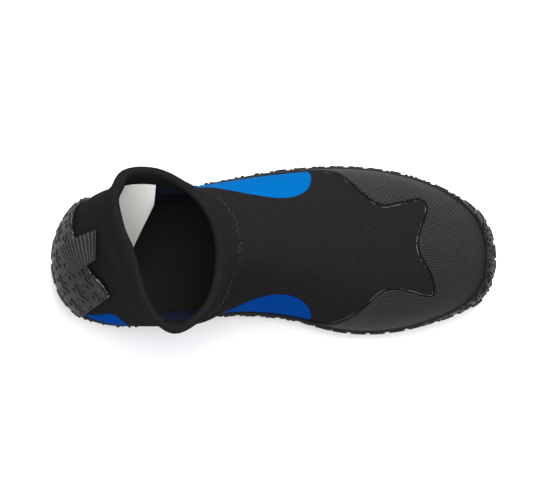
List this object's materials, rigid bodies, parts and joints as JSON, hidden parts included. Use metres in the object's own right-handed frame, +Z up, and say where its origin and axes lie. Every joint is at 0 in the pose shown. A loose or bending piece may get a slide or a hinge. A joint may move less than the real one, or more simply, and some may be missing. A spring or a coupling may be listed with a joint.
{
  "type": "wetsuit bootie",
  "caption": "Low left-foot wetsuit bootie with a hollow neoprene upper, slack ankle collar, star-edged toe cap, heel pull loop and a wrapped rubber sole with three-armed lugs.",
  "frame": {"origin": "on the floor under the middle of the bootie's box", "axes": "+X from the heel to the toe, +Y to the lateral side of the left foot, +Z up"},
  "size_m": [0.2976, 0.1124, 0.1],
  "materials": {
    "outsole_rubber": "matt moulded rubber",
    "upper_neoprene": "matt jersey on neoprene foam, black with blue side panels",
    "toe_cap_fabric": "embossed abrasion fabric",
    "insole_foam": "matt foam with a fabric face",
    "loop_webbing": "ribbed woven webbing",
    "label_satin": "pale satin, bare"
  },
  "bodies": {
    "root": {"outsole": "outsole_rubber", "upper": "upper_neoprene", "toe_cap": "toe_cap_fabric", "insole": "insole_foam", "pull_loop": "loop_webbing", "size_label": "label_satin"}
  },
  "joints": []
}
